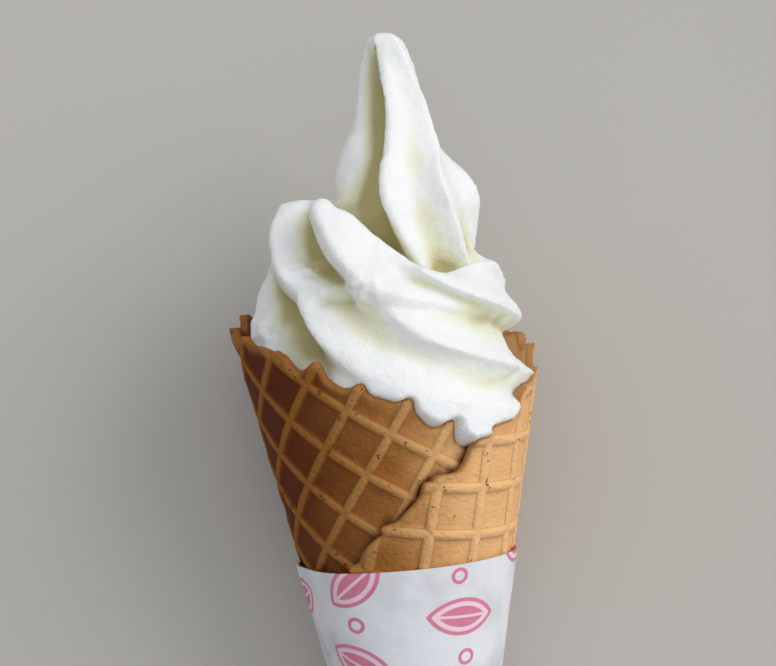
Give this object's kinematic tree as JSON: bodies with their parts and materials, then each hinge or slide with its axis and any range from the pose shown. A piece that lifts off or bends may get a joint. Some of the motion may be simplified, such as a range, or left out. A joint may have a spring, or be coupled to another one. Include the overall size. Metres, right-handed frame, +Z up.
{
  "type": "soft serve cone",
  "caption": "Twisted soft serve with a tall peak in a rolled waffle cone with a paper sleeve, lying on its back.",
  "frame": {"origin": "centre of the bounding box's bottom face, on the ground that the cone lies on", "axes": "+Z up, +Y from the cone's tip toward the swirl's peak, +X to the right of the shown side"},
  "size_m": [0.0706, 0.222, 0.0664],
  "materials": {
    "soft_serve": "satin",
    "waffle": "matte",
    "paper": "matte"
  },
  "bodies": {
    "root": {"soft_serve": "soft_serve", "waffle_cone": "waffle", "paper_sleeve": "paper"}
  },
  "joints": []
}
